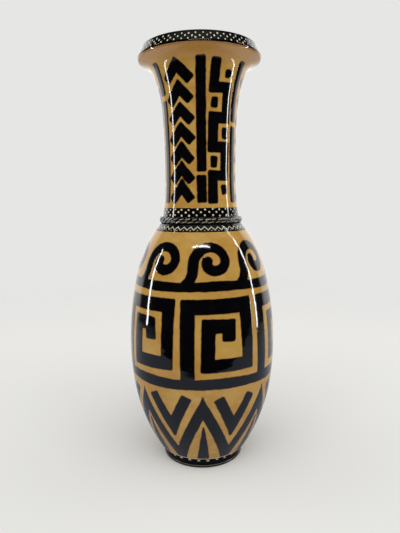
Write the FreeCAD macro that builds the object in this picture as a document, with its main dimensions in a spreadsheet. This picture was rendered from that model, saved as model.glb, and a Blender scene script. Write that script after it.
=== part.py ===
"""A tall wheel-thrown vase with a wide flaring mouth, a slim neck and an ovoid body on a ring foot.

It is thrown in four sections that are luted together: lower body, upper body, neck and mouth.
A turned ring foot is luted under the floor, and a twisted cordon of clay hides the seam of neck and
shoulder. Each seam is keyed: a tongue or a spigot of one section sits in a rebate of the next.

The frame is in millimetres, +Z up, with the origin at the centre of the resting face of the foot.
Every profile lies in the XZ plane, with the radius along X, and is turned about Z.
"""

import FreeCAD
import Part
import Sketcher
import math
import os

# Each row is an alias of the sheet, its value in millimetres and what it measures.
FOOT_SIZES = (
    ("foot_height", 14.0, "ring foot, from the table to the underside of the body"),
    ("foot_overhang", 5.2, "how far the body stands out over the base bead of the foot"),
    ("foot_ring_width", 9.0, "width of the ring at its base"),
    ("foot_bead_height", 3.2, "height of the base bead"),
    ("foot_bead_proud", 0.7, "how far the bead stands out from the wall above it"),
    ("foot_line_height", 0.9, "height of the turned line above the bead"),
    ("foot_line_depth", 0.6, "depth of the turned line"),
    ("foot_edge_round", 1.4, "rounding of the edges that meet the table"),
)
LOWER_SIZES = (
    ("lower_height", 133.4, "lower body, from the foot to the belly seam"),
    ("base_radius", 56.0, "radius of the body where it meets the foot"),
    ("belly_radius", 90.7, "widest radius of the vase"),
    ("lower_break_height", 91.0, "where the two curves of the lower body meet, above the foot"),
    ("lower_break_inset", 2.7, "how far in from the belly they meet"),
    ("body_wall", 6.8, "wall of the body"),
    ("floor_thickness", 9.0, "thickness of the floor, from the boss up"),
    ("floor_round", 14.0, "rounding where the floor turns up into the wall"),
    ("foot_key_depth", 3.0, "how far the boss of the floor stands into the ring foot"),
    ("seam_tongue_height", 5.0, "height of the tongue of the belly seam"),
    ("seam_tongue_width", 3.4, "width of that tongue, measured from the inside"),
)
UPPER_SIZES = (
    ("upper_height", 149.6, "upper body, from the belly seam to the collar"),
    ("shoulder_break_height", 87.5, "where its two curves meet, above the belly seam"),
    ("shoulder_break_inset", 10.2, "how far in from the belly they meet"),
    ("collar_ledge", 3.4, "how far the shoulder stands out from the foot of the neck"),
    ("socket_depth", 7.0, "depth of the neck's socket, and height of the thickened rim"),
    ("socket_slope", 4.5, "fall of the slope from the rim to the wall inside"),
)
CORDON_SIZES = (
    ("cordon_height", 8.6, "height of the twisted cordon"),
    ("cordon_flat", 1.7, "width of its seat and of its top face"),
    ("cordon_bulge", 2.6, "how far its round front stands out from them"),
    ("strand_groove_radius", 2.4, "radius of the tool that cuts between the strands"),
    ("strand_groove_depth", 0.9, "depth of each cut at the crown of the cordon"),
    ("strand_cut_length", 24.0, "length of the tool"),
)
NECK_SIZES = (
    ("waist_radius", 43.1, "radius at the narrowest place of the neck"),
    ("waist_height", 60.0, "height of the narrowest place, above the collar"),
    ("neck_height", 174.7, "neck, from the collar to the seam of the mouth"),
    ("neck_foot_flare", 3.8, "how far the foot of the neck stands out from the waist"),
    ("neck_break_height", 128.0, "where the two upper curves meet, above the collar"),
    ("neck_break_flare", 1.9, "how far out from the waist they meet"),
    ("neck_top_flare", 11.9, "how far the top of the neck stands out from the waist"),
    ("neck_wall", 5.6, "wall of the neck"),
    ("socket_lip", 3.5, "how far the spigot stands in from the foot of the neck"),
    ("spigot_wall", 3.9, "wall of the spigot"),
    ("lip_tongue_height", 3.0, "height of the tongue that keys the mouth to the neck"),
    ("lip_tongue_width", 2.0, "width of that tongue"),
)
MOUTH_SIZES = (
    ("flare_rise", 10.5, "height of the curve under the lip, above the seam"),
    ("flare_run", 10.1, "how far out that curve carries"),
    ("underside_rise", 2.9, "height of the straight underside above the curve"),
    ("underside_run", 7.0, "how far out the underside carries"),
    ("edge_rise", 2.7, "height of the narrow edge of the lip"),
    ("edge_run", 1.2, "how far out the edge leans"),
    ("bevel_rise", 10.3, "height of the painted bevel"),
    ("bevel_run", 5.0, "how far in the bevel leans"),
    ("crown_drop", 1.9, "from the highest circle of the lip to its outer and inner shoulders"),
    ("crown_outer_run", 2.1, "from the highest circle out to the bevel"),
    ("crown_inner_run", 2.0, "from the highest circle in to the brim"),
    ("bowl_drop", 12.1, "from the brim down to where the two curves inside the mouth meet"),
    ("bowl_run", 6.2, "from the brim in to that place"),
)
STRAND_COUNT = 40
STRAND_LAY = 28.0  # degrees between a strand and the level
FIRST_STRAND = 3.0  # degrees round from the seam of the bead to the first cut

FULL_TURN = 360.0
SAME_PLACE = 0.001  # two places nearer than this are one


def make_sheet(document, groups):
    """Writes the sizes into a spreadsheet, one row each, and names every value cell."""
    sheet = document.addObject("Spreadsheet::Sheet", "Sizes")
    rows = [size for group in groups for size in group]
    for row, (alias, value, meaning) in enumerate(rows, start=1):
        sheet.set(f"A{row}", meaning)
        sheet.set(f"B{row}", str(value))
        sheet.setAlias(f"B{row}", alias)
    document.recompute()
    return sheet


class Size:
    """A size with the expression that the document works it out from."""

    def __init__(self, value, text):
        self.value = value
        self.text = text

    def __add__(self, other):
        return Size(self.value + other.value, f"({self.text} + {other.text})")

    def __sub__(self, other):
        return Size(self.value - other.value, f"({self.text} - {other.text})")

    def __mul__(self, other):
        other = as_size(other)
        return Size(self.value * other.value, f"({self.text} * {other.text})")

    def __truediv__(self, other):
        other = as_size(other)
        return Size(self.value / other.value, f"({self.text} / {other.text})")

    def root(self):
        return Size(math.sqrt(self.value), f"sqrt({self.text})")


def as_size(number):
    """Wraps a plain ratio, so that sizes can be multiplied or divided by it."""
    return number if isinstance(number, Size) else Size(float(number), repr(float(number)))


def named_sizes(sheet, groups):
    """Gives every alias of the sheet as a Size."""
    return {
        alias: Size(float(sheet.get(alias)), f"Sizes.{alias}")
        for group in groups
        for alias, _, _ in group
    }


ZERO = Size(0.0, "0")


def foot_radii(d):
    """Outer radius of the ring foot at its base bead, and the radius of its bore."""
    outer = d["base_radius"] - d["foot_overhang"]
    return outer, outer - d["foot_ring_width"]


def neck_seat_radii(d):
    """Radii of the neck at its foot, of the spigot below it and of the spigot's bore."""
    foot = d["waist_radius"] + d["neck_foot_flare"]
    spigot = foot - d["socket_lip"]
    return foot, spigot, spigot - d["spigot_wall"]


def neck_top_radius(d):
    return d["waist_radius"] + d["neck_top_flare"]


def body_levels(d):
    """Heights of the underside of the body, of the belly seam and of the collar."""
    base = d["foot_height"]
    seam = base + d["lower_height"]
    return base, seam, seam + d["upper_height"]


def dot(a, b):
    return a[0] * b[0] + a[1] * b[1]


def minus(a, b):
    return (a[0] - b[0], a[1] - b[1])


def centre_level_with(level_point, other):
    """Centre of the arc through two points whose tangent is upright at the first of them."""
    across = other[0] - level_point[0]
    along = other[1] - level_point[1]
    reach = (across * across + along * along) / (across * 2)
    return (level_point[0] + reach, level_point[1])


def centre_tangent(previous_centre, start, end):
    """Centre of the arc from start to end that runs on smoothly from an arc that ends at start."""
    spoke = minus(start, previous_centre)
    chord = minus(end, start)
    share = dot(chord, chord) / (dot(chord, spoke) * 2)
    return (start[0] + spoke[0] * share, start[1] + spoke[1] * share)


def radius_between(centre, point):
    spoke = minus(point, centre)
    return dot(spoke, spoke).root()


def moved_along_spoke(centre, point, shift):
    """The point moved away from the centre by shift, so that a parallel arc can pass through it."""
    share = shift / radius_between(centre, point)
    spoke = minus(point, centre)
    return (point[0] + spoke[0] * share, point[1] + spoke[1] * share)


def on_arc_at_height(centre, radius, height, side):
    """The point of an arc at a height, on the far side of its centre (1) or the near side (-1)."""
    rise = height - centre[1]
    reach = (radius * radius - rise * rise).root()
    return (centre[0] + reach * side, height)


def on_arc_at_radius(centre, radius, distance, side):
    """The point of an arc at a distance from the axis, above its centre (1) or below it (-1)."""
    run = distance - centre[0]
    reach = (radius * radius - run * run).root()
    return (distance, centre[1] + reach * side)


class Profile:
    """A closed outline in the XZ plane of a body, held point by point to the sheet."""

    def __init__(self, body, name, start):
        plane = next(f for f in body.Origin.OriginFeatures if f.Role == "XZ_Plane")
        self.sketch = body.newObject("Sketcher::SketchObject", name)
        self.sketch.AttachmentSupport = (plane, [""])
        self.sketch.MapMode = "FlatFace"
        self.points = [start]
        self.centres = []

    def line(self, point):
        self.points.append(point)
        self.centres.append(None)

    def arc(self, point, centre):
        self.points.append(point)
        self.centres.append(centre)

    def close(self):
        """Adds the geometry and its constraints. The last edge runs back to the first point."""
        count = len(self.points)
        self.centres.append(None)
        ends = []
        for i, centre in enumerate(self.centres):
            start, end = self.points[i], self.points[(i + 1) % count]
            ends.append(self._edge(start, end, centre))
        for i in range(count):
            later = (i + 1) % count
            self.sketch.addConstraint(
                Sketcher.Constraint("Coincident", i, ends[i][1], later, ends[later][0])
            )
        for i, point in enumerate(self.points):
            self._pin(i, ends[i][0], point)
        for i, centre in enumerate(self.centres):
            if centre is not None:
                self._pin_centre(i, self.points[i], self.points[(i + 1) % count], centre)
        return self.sketch

    def _edge(self, start, end, centre):
        """Adds one line or arc and returns which of its ends comes first and last."""
        a = FreeCAD.Vector(start[0].value, start[1].value, 0)
        b = FreeCAD.Vector(end[0].value, end[1].value, 0)
        if centre is None:
            self.sketch.addGeometry(Part.LineSegment(a, b))
            return (1, 2)
        c = FreeCAD.Vector(centre[0].value, centre[1].value, 0)
        forward = (a - c).cross(b - c).z > 0
        first, last = (a, b) if forward else (b, a)
        circle = Part.Circle(c, FreeCAD.Vector(0, 0, 1), (a - c).Length)
        angles = [math.atan2(p.y - c.y, p.x - c.x) for p in (first, last)]
        self.sketch.addGeometry(Part.ArcOfCircle(circle, *angles))
        return (1, 2) if forward else (2, 1)

    def _pin(self, edge, end, point):
        for kind, size, axis in (("DistanceX", point[0], -2), ("DistanceY", point[1], -1)):
            if abs(size.value) < SAME_PLACE:
                on_axis = Sketcher.Constraint("PointOnObject", edge, end, axis)
                self.sketch.addConstraint(on_axis)
            else:
                self._bind(kind, edge, end, size)

    def _pin_centre(self, edge, start, end, centre):
        """Fixes the one way that a centre can still move, which is square to the chord."""
        rise = abs(end[1].value - start[1].value)
        run = abs(end[0].value - start[0].value)
        if rise > run:
            self._bind("DistanceX", edge, 3, centre[0])
        else:
            self._bind("DistanceY", edge, 3, centre[1])

    def _bind(self, kind, edge, end, size):
        number = self.sketch.addConstraint(
            Sketcher.Constraint(kind, -1, 1, edge, end, size.value)
        )
        self.sketch.setExpression(f"Constraints[{number}]", size.text)


def new_body(document, label):
    body = document.addObject("PartDesign::Body", label)
    body.Label = label
    return body


def turned(body, name, sketch):
    """Turns a closed profile about Z."""
    feature = body.newObject("PartDesign::Revolution", name)
    feature.Profile = sketch
    feature.ReferenceAxis = (sketch, ["V_Axis"])
    feature.Angle = FULL_TURN
    sketch.Visibility = False
    body.Document.recompute()
    return feature


def circles_at(shape, radius, height):
    """Names of the circular edges of that radius at that height."""
    names = []
    for number, edge in enumerate(shape.Edges, start=1):
        curve = edge.Curve
        if not isinstance(curve, Part.Circle):
            continue
        off_radius = abs(curve.Radius - radius.value)
        off_height = abs(curve.Center.z - height.value)
        if max(off_radius, off_height) < SAME_PLACE:
            names.append(f"Edge{number}")
    return names


def rounded(body, name, base, edges, size):
    """Rounds the named edges of a feature."""
    feature = body.newObject("PartDesign::Fillet", name)
    feature.Base = (base, edges)
    feature.Radius = size.value
    feature.setExpression("Radius", size.text)
    body.Document.recompute()
    return feature


def make_foot(document, d):
    """The ring foot: a base bead, a turned line above it and a plain wall up to the body."""
    body = new_body(document, "foot_ring")
    outer, inner = foot_radii(d)
    wall = outer - d["foot_bead_proud"]
    bead_top = d["foot_bead_height"]
    line_top = bead_top + d["foot_line_height"]
    line_bottom_radius = wall - d["foot_line_depth"]
    profile = Profile(body, "FootProfile", (inner, ZERO))
    profile.line((outer, ZERO))
    profile.line((outer, bead_top - d["foot_line_depth"]))
    profile.line((wall, bead_top))
    profile.line((line_bottom_radius, bead_top + d["foot_line_height"] / 2))
    profile.line((wall, line_top))
    profile.line((wall, d["foot_height"]))
    profile.line((inner, d["foot_height"]))
    ring = turned(body, "FootRing", profile.close())
    edges = circles_at(ring.Shape, outer, ZERO) + circles_at(ring.Shape, inner, ZERO)
    rounded(body, "FootRounding", ring, edges, d["foot_edge_round"])
    return body


def make_lower_body(document, d):
    """The lower body: a bowl with its floor, whose boss keys it to the ring foot."""
    body = new_body(document, "lower_body")
    base, seam, _ = body_levels(d)
    belly = (d["belly_radius"], seam)
    bend = (belly[0] - d["lower_break_inset"], base + d["lower_break_height"])
    bottom = (d["base_radius"], base)
    belly_centre = centre_level_with(belly, bend)
    bend_centre = centre_tangent(belly_centre, bend, bottom)
    inner_belly = (belly[0] - d["body_wall"], seam + d["seam_tongue_height"])
    inner_seam = (belly[0] - d["body_wall"], seam)
    inner_bend = moved_along_spoke(belly_centre, bend, ZERO - d["body_wall"])
    boss_bottom = base - d["foot_key_depth"]
    floor_top = boss_bottom + d["floor_thickness"]
    inner_radius = radius_between(bend_centre, bend) - d["body_wall"]
    inner_floor = on_arc_at_height(bend_centre, inner_radius, floor_top, 1)
    _, boss = foot_radii(d)
    tongue = inner_belly[0] + d["seam_tongue_width"]
    profile = Profile(body, "LowerProfile", (ZERO, boss_bottom))
    profile.line((boss, boss_bottom))
    profile.line((boss, base))
    profile.line(bottom)
    profile.arc(bend, bend_centre)
    profile.arc(belly, belly_centre)
    profile.line((tongue, seam))
    profile.line((tongue, inner_belly[1]))
    profile.line(inner_belly)
    profile.line(inner_seam)
    profile.arc(inner_bend, belly_centre)
    profile.arc(inner_floor, bend_centre)
    profile.line((ZERO, floor_top))
    bowl = turned(body, "LowerBowl", profile.close())
    edges = circles_at(bowl.Shape, inner_floor[0], floor_top)
    rounded(body, "FloorRounding", bowl, edges, d["floor_round"])
    return body


def make_upper_body(document, d):
    """The upper body: the shoulder, with a rebate over the belly seam and a socket for the neck."""
    body = new_body(document, "upper_body")
    _, seam, collar = body_levels(d)
    neck_foot, socket, _ = neck_seat_radii(d)
    belly = (d["belly_radius"], seam)
    bend = (belly[0] - d["shoulder_break_inset"], seam + d["shoulder_break_height"])
    top = (neck_foot + d["collar_ledge"], collar)
    belly_centre = centre_level_with(belly, bend)
    bend_centre = centre_tangent(belly_centre, bend, top)
    inner_wall = belly[0] - d["body_wall"]
    tongue = inner_wall + d["seam_tongue_width"]
    tongue_top = seam + d["seam_tongue_height"]
    outer_reach = radius_between(belly_centre, belly)
    inner_start = on_arc_at_height(belly_centre, outer_reach - d["body_wall"], tongue_top, 1)
    inner_bend = moved_along_spoke(belly_centre, bend, ZERO - d["body_wall"])
    rim_bottom = collar - d["socket_depth"]
    inner_radius = radius_between(bend_centre, bend) - d["body_wall"]
    inner_top = on_arc_at_height(bend_centre, inner_radius, rim_bottom - d["socket_slope"], 1)
    profile = Profile(body, "UpperProfile", (tongue, seam))
    profile.line(belly)
    profile.arc(bend, belly_centre)
    profile.arc(top, bend_centre)
    profile.line((socket, collar))
    profile.line((socket, rim_bottom))
    profile.line(inner_top)
    profile.arc(inner_bend, bend_centre)
    profile.arc(inner_start, belly_centre)
    profile.line((tongue, tongue_top))
    turned(body, "Shoulder", profile.close())
    return body


def place_strand_cut(cut, reach_out, middle, half_length):
    """Lays the tool across the crown of the cordon, a little way round from its seam."""
    lay = math.radians(STRAND_LAY)
    along = FreeCAD.Vector(0, math.cos(lay), math.sin(lay))
    up = FreeCAD.Vector(0, 0, 1)
    round_by = FreeCAD.Rotation(up, FIRST_STRAND)
    start = FreeCAD.Vector(reach_out.value, 0, middle.value) - along * half_length.value
    cut.Placement = FreeCAD.Placement(
        round_by.multVec(start), round_by * FreeCAD.Rotation(up, along)
    )
    back = f"{half_length.text} * cos({STRAND_LAY} deg)"
    cosine, sine = f"cos({FIRST_STRAND} deg)", f"sin({FIRST_STRAND} deg)"
    cut.setExpression("Placement.Base.x", f"{reach_out.text} * {cosine} + {back} * {sine}")
    cut.setExpression("Placement.Base.y", f"{reach_out.text} * {sine} - {back} * {cosine}")
    cut.setExpression(
        "Placement.Base.z", f"{middle.text} - {half_length.text} * sin({STRAND_LAY} deg)"
    )


def make_cordon(document, d):
    """The twisted cordon: a half-round bead cut by slanting grooves into strands."""
    body = new_body(document, "rope_cordon")
    _, _, collar = body_levels(d)
    seat, _, _ = neck_seat_radii(d)
    flat = seat + d["cordon_flat"]
    crown = flat + d["cordon_bulge"]
    top = collar + d["cordon_height"]
    middle = collar + d["cordon_height"] / 2
    reach = d["cordon_bulge"]
    half = d["cordon_height"] / 2
    centre_radius = crown - (reach * reach + half * half) / (reach * 2)
    profile = Profile(body, "CordonProfile", (seat, collar))
    profile.line((flat, collar))
    profile.arc((flat, top), (centre_radius, middle))
    profile.line((seat, top))
    turned(body, "Bead", profile.close())
    cut = body.newObject("PartDesign::SubtractiveCylinder", "StrandCut")
    cut.Radius = d["strand_groove_radius"].value
    cut.setExpression("Radius", d["strand_groove_radius"].text)
    cut.Height = d["strand_cut_length"].value
    cut.setExpression("Height", d["strand_cut_length"].text)
    reach_out = crown + d["strand_groove_radius"] - d["strand_groove_depth"]
    place_strand_cut(cut, reach_out, middle, d["strand_cut_length"] / 2)
    pattern = body.newObject("PartDesign::PolarPattern", "Strands")
    pattern.Originals = [cut]
    axis = next(f for f in body.Origin.OriginFeatures if f.Role == "Z_Axis")
    pattern.Axis = (axis, [""])
    pattern.Angle = FULL_TURN
    pattern.Occurrences = STRAND_COUNT
    body.Tip = pattern
    document.recompute()
    if len(body.Shape.Faces) < STRAND_COUNT:
        raise RuntimeError("strand cuts are missing from the cordon")
    return body


def neck_curves(d):
    """The points and centres of the outer curves of the neck, from the collar up."""
    _, _, collar = body_levels(d)
    foot_radius, _, _ = neck_seat_radii(d)
    foot = (foot_radius, collar + d["cordon_height"])
    waist = (d["waist_radius"], collar + d["waist_height"])
    bend = (d["waist_radius"] + d["neck_break_flare"], collar + d["neck_break_height"])
    top = (neck_top_radius(d), collar + d["neck_height"])
    lower_centre = centre_level_with(waist, foot)
    middle_centre = centre_level_with(waist, bend)
    upper_centre = centre_tangent(middle_centre, bend, top)
    return collar, (foot, waist, bend, top), (lower_centre, middle_centre, upper_centre)


def neck_inner_top(d):
    """Where the inside of the neck meets the level of the mouth's seam."""
    _, (_, _, _, top), (_, _, upper_centre) = neck_curves(d)
    inner_radius = radius_between(upper_centre, top) + d["neck_wall"]
    return on_arc_at_height(upper_centre, inner_radius, top[1], -1)


def lip_tongue(d):
    """Inner and outer radius of the tongue, which stands in the middle of the neck's wall."""
    middle = (neck_top_radius(d) + neck_inner_top(d)[0]) / 2
    half_width = d["lip_tongue_width"] / 2
    return middle - half_width, middle + half_width


def make_neck(document, d):
    """The neck: a slim waisted tube with a spigot below and a tongue above."""
    body = new_body(document, "neck")
    collar, (foot, waist, bend, top), centres = neck_curves(d)
    lower_centre, middle_centre, upper_centre = centres
    wall = d["neck_wall"]
    _, spigot, bore = neck_seat_radii(d)
    spigot_bottom = collar - d["socket_depth"]
    inner_waist = (waist[0] - wall, waist[1])
    inner_bend = moved_along_spoke(middle_centre, bend, wall)
    inner_top = neck_inner_top(d)
    lower_reach = radius_between(lower_centre, waist) + wall
    bore_top = on_arc_at_radius(lower_centre, lower_reach, bore, -1)
    tongue_inner, tongue_outer = lip_tongue(d)
    tongue_top = top[1] + d["lip_tongue_height"]
    profile = Profile(body, "NeckProfile", (bore, spigot_bottom))
    profile.line((spigot, spigot_bottom))
    profile.line((spigot, collar))
    profile.line((foot[0], collar))
    profile.line(foot)
    profile.arc(waist, lower_centre)
    profile.arc(bend, middle_centre)
    profile.arc(top, upper_centre)
    profile.line((tongue_outer, top[1]))
    profile.line((tongue_outer, tongue_top))
    profile.line((tongue_inner, tongue_top))
    profile.line((tongue_inner, top[1]))
    profile.line(inner_top)
    profile.arc(inner_bend, upper_centre)
    profile.arc(inner_waist, middle_centre)
    profile.arc(bore_top, lower_centre)
    turned(body, "NeckTube", profile.close())
    return body


def make_mouth(document, d):
    """The mouth: a flaring ring with a bevelled lip, rounded over into the bowl of the mouth."""
    body = new_body(document, "mouth_lip")
    _, (_, _, _, seam_point), (_, _, neck_centre) = neck_curves(d)
    seam = seam_point[1]
    cone = (seam_point[0] + d["flare_run"], seam + d["flare_rise"])
    flare_centre = centre_tangent(neck_centre, seam_point, cone)
    under_edge = (cone[0] + d["underside_run"], cone[1] + d["underside_rise"])
    edge = (under_edge[0] + d["edge_run"], under_edge[1] + d["edge_rise"])
    bevel_top = (edge[0] - d["bevel_run"], edge[1] + d["bevel_rise"])
    crown = (bevel_top[0] - d["crown_outer_run"], bevel_top[1] + d["crown_drop"])
    brim = (crown[0] - d["crown_inner_run"], bevel_top[1])
    bowl = (brim[0] - d["bowl_run"], brim[1] - d["bowl_drop"])
    inner_seam = neck_inner_top(d)
    bowl_centre = centre_tangent(neck_centre, inner_seam, bowl)
    brim_centre = centre_tangent(bowl_centre, bowl, brim)
    tongue_inner, tongue_outer = lip_tongue(d)
    groove_top = seam + d["lip_tongue_height"]
    outer_crown_centre = crown_centre(crown, bevel_top)
    inner_crown_centre = crown_centre(crown, brim)
    profile = Profile(body, "MouthProfile", seam_point)
    profile.arc(cone, flare_centre)
    profile.line(under_edge)
    profile.line(edge)
    profile.line(bevel_top)
    profile.arc(crown, outer_crown_centre)
    profile.arc(brim, inner_crown_centre)
    profile.arc(bowl, brim_centre)
    profile.arc(inner_seam, bowl_centre)
    profile.line((tongue_inner, seam))
    profile.line((tongue_inner, groove_top))
    profile.line((tongue_outer, groove_top))
    profile.line((tongue_outer, seam))
    turned(body, "Mouth", profile.close())
    return body


def crown_centre(crown, side):
    """Centre of the arc from the crown of the lip, where it runs level, down to one side."""
    across = side[0] - crown[0]
    drop = crown[1] - side[1]
    reach = (across * across + drop * drop) / (drop * 2)
    return (crown[0], crown[1] - reach)


def check(document, bodies):
    """Stops the script if any object failed or any piece is not one valid solid."""
    for item in document.Objects:
        if "Invalid" in item.State or "Error" in item.State:
            raise RuntimeError(f"{item.Name} failed: {item.State}")
    for body in bodies:
        shape = body.Shape
        if shape.isNull() or not shape.isValid() or len(shape.Solids) != 1:
            raise RuntimeError(f"{body.Label} is not one valid solid")


def main():
    groups = (FOOT_SIZES, LOWER_SIZES, UPPER_SIZES, CORDON_SIZES, NECK_SIZES, MOUTH_SIZES)
    document = FreeCAD.newDocument("TallVase")
    sheet = make_sheet(document, groups)
    d = named_sizes(sheet, groups)
    bodies = [
        make_foot(document, d),
        make_lower_body(document, d),
        make_upper_body(document, d),
        make_cordon(document, d),
        make_neck(document, d),
        make_mouth(document, d),
    ]
    document.recompute()
    check(document, bodies)
    os.makedirs("parts", exist_ok=True)
    for body in bodies:
        body.Shape.exportStep(os.path.join("parts", f"{body.Label}.step"))
        box = body.Shape.optimalBoundingBox(True, False)
        print(f"{body.Label}: z {box.ZMin:.2f} to {box.ZMax:.2f}, volume {body.Shape.Volume:.0f}")


main()
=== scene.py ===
"""A tall wheel-thrown vase: honey-ochre glaze under bold black brushwork, on a black ring foot.

Every section is a closed outline in the plane of radius and height, in millimetres, turned about the
axis of the vase. Angles go round from the front of the vase towards the viewer's right.
"""
import math

import bpy
import numpy as np
from mathutils import Matrix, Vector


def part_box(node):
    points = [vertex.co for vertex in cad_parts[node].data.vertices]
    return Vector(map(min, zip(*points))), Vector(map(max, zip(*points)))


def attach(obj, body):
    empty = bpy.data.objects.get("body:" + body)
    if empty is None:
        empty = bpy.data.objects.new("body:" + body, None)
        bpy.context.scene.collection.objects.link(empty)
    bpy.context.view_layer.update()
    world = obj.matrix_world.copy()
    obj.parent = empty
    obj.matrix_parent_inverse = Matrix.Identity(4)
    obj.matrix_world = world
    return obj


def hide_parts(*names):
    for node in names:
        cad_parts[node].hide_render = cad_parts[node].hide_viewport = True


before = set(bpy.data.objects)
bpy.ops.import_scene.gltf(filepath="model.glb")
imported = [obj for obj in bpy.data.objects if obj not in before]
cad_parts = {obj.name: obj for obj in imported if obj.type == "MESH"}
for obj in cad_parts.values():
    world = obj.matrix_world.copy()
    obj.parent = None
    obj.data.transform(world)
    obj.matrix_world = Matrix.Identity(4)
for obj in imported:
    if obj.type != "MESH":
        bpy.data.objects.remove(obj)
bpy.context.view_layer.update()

MM = 0.001
FULL_TURN = 2.0 * math.pi


def corners(node):
    """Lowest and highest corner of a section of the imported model, in millimetres."""
    low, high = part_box(node)
    return [value / MM for value in low], [value / MM for value in high]


def rgb(red, green, blue):
    """A colour given as a screen shows it, from 0 to 255, turned into linear light."""
    shares = np.array([red, green, blue]) / 255.0
    linear = np.where(shares <= 0.04045, shares / 12.92, ((shares + 0.055) / 1.055) ** 2.4)
    return (*linear.tolist(), 1.0)


# Sizes of the turned sections, in millimetres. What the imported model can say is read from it.
_, FOOT_HIGH = corners("foot_ring")
LOWER_LOW, LOWER_HIGH = corners("lower_body")
_, UPPER_HIGH = corners("upper_body")
_, CORDON_HIGH = corners("rope_cordon")
NECK_LOW, NECK_HIGH = corners("neck")
MOUTH_LOW, MOUTH_HIGH = corners("mouth_lip")

BODY_WALL = 6.8
NECK_WALL = 5.6
TONGUE_HEIGHT = 5.0
TONGUE_WIDTH = 3.4
FLOOR_THICKNESS = 9.0
FLOOR_ROUND = 12.0
SOCKET_SLOPE = 4.5
FOOT_WIDTH = 9.0
BEAD_PROUD = 0.7
BEAD_EDGE = 2.6
BEAD_HEIGHT = 3.2
FOOT_LINE_TOP = 4.1
FOOT_LINE_DEPTH = 0.6
FOOT_BORE = FOOT_HIGH[0] - FOOT_WIDTH
FOOT_WALL = FOOT_HIGH[0] - BEAD_PROUD
SPIGOT = 43.4
SPIGOT_BORE = 39.5
LIP_TONGUE_HEIGHT = 3.0
LIP_TONGUE_WIDTH = 2.0
BEVEL_RUN = 5.0
BEVEL_RISE = 10.3
BEVEL_SLANT = math.hypot(BEVEL_RUN, BEVEL_RISE) / BEVEL_RISE

# Corners of the outline, each as its radius and height.
FOOT_TOP = FOOT_HIGH[2]
SEAM = LOWER_HIGH[2] - TONGUE_HEIGHT
COLLAR = UPPER_HIGH[2]
BODY_BASE = (56.0, FOOT_TOP)
LOWER_BEND = (LOWER_HIGH[0] - 2.7, FOOT_TOP + 91.0)
BELLY = (LOWER_HIGH[0], SEAM)
UPPER_BEND = (LOWER_HIGH[0] - 10.2, SEAM + 87.5)
SHOULDER = (50.3, COLLAR)
NECK_BASE = (46.9, CORDON_HIGH[2])
WAIST = (43.1, COLLAR + 60.0)
NECK_BEND = (45.0, COLLAR + 128.0)
NECK_TOP = (NECK_HIGH[0], MOUTH_LOW[2])
FLARE_END = (NECK_TOP[0] + 10.1, NECK_TOP[1] + 10.5)
LIP_UNDER = (FLARE_END[0] + 7.0, FLARE_END[1] + 2.9)
LIP_EDGE = (MOUTH_HIGH[0], LIP_UNDER[1] + 2.7)
BEVEL_TOP = (LIP_EDGE[0] - BEVEL_RUN, LIP_EDGE[1] + BEVEL_RISE)
CROWN = (BEVEL_TOP[0] - 2.1, MOUTH_HIGH[2])
BRIM = (CROWN[0] - 2.0, BEVEL_TOP[1])
BOWL = (BRIM[0] - 6.2, BRIM[1] - 12.1)
TONGUE_IN = BELLY[0] - BODY_WALL
TONGUE_OUT = TONGUE_IN + TONGUE_WIDTH
TONGUE_TOP = LOWER_HIGH[2]

# Steps along an outline, and how far from a corner its rounding starts.
HAIR = 0.3
FINE = 1.4
PLAIN = 2.5
COARSE = 6.0
SOFT_EDGE = 1.1
CRISP_EDGE = 0.5

# The skins of a section, as places in its list of finishes.
PAINT, INNER, BARE = 0, 1, 2


# Outlines

RUN_POINTS = 200
ARC_POINTS = 400
CORNER_POINTS = 5
SHARP_CORNER = math.radians(40.0)
SWELL = 0.08
SWELL_LEAN = 0.021
THROWING_RING = 0.025
RING_PITCH = 11.0
RING_SWAY = 0.6
STILL_MIDDLE = 20.0


def line(start, end):
    """Points of a straight run: start plus an even share of the way to the end."""
    return np.linspace(start, end, RUN_POINTS)


def arc(start, end, centre):
    """Points of an arc: the angle about the centre goes evenly, the short way, while the radius holds."""
    spokes = np.array([start, end]) - centre
    first, last = np.arctan2(spokes[:, 1], spokes[:, 0])
    sweep = (last - first + math.pi) % FULL_TURN - math.pi
    angles = first + sweep * np.linspace(0.0, 1.0, ARC_POINTS)
    reach = np.linspace(*np.hypot(spokes[:, 0], spokes[:, 1]), ARC_POINTS)
    return np.array(centre) + np.c_[np.cos(angles), np.sin(angles)] * reach[:, None]


def level_centre(level_point, other):
    """Centre of the arc that is upright at its first point: level with it, at half the squared chord
    over the run."""
    across = other[0] - level_point[0]
    along = other[1] - level_point[1]
    return np.array([level_point[0] + (across ** 2 + along ** 2) / (2.0 * across), level_point[1]])


def next_centre(centre, start, end):
    """Centre of the arc that runs smoothly on: along the spoke at the start, by the squared chord over
    twice its part along that spoke."""
    spoke = np.subtract(start, centre)
    chord = np.subtract(end, start)
    return np.array(start) + spoke * (chord @ chord) / (2.0 * (chord @ spoke))


def crown_centre(crown, side):
    """Centre of the arc that is level at the crown and passes through the side."""
    across, drop = side[0] - crown[0], crown[1] - side[1]
    return np.array([crown[0], crown[1] - (across ** 2 + drop ** 2) / (2.0 * drop)])


def reach_to(centre, point):
    """Distance from a centre to a point."""
    return np.hypot(*np.subtract(point, centre))


def moved_on_spoke(centre, point, shift):
    """The point moved away from the centre by the shift."""
    spoke = np.subtract(point, centre)
    return np.array(point) + spoke / np.hypot(*spoke) * shift


def on_arc_at(centre, reach, height, side):
    """The point of a circle at a height, on the side of larger or smaller radius."""
    return np.array([centre[0] + side * math.sqrt(reach ** 2 - (height - centre[1]) ** 2), height])


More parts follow.
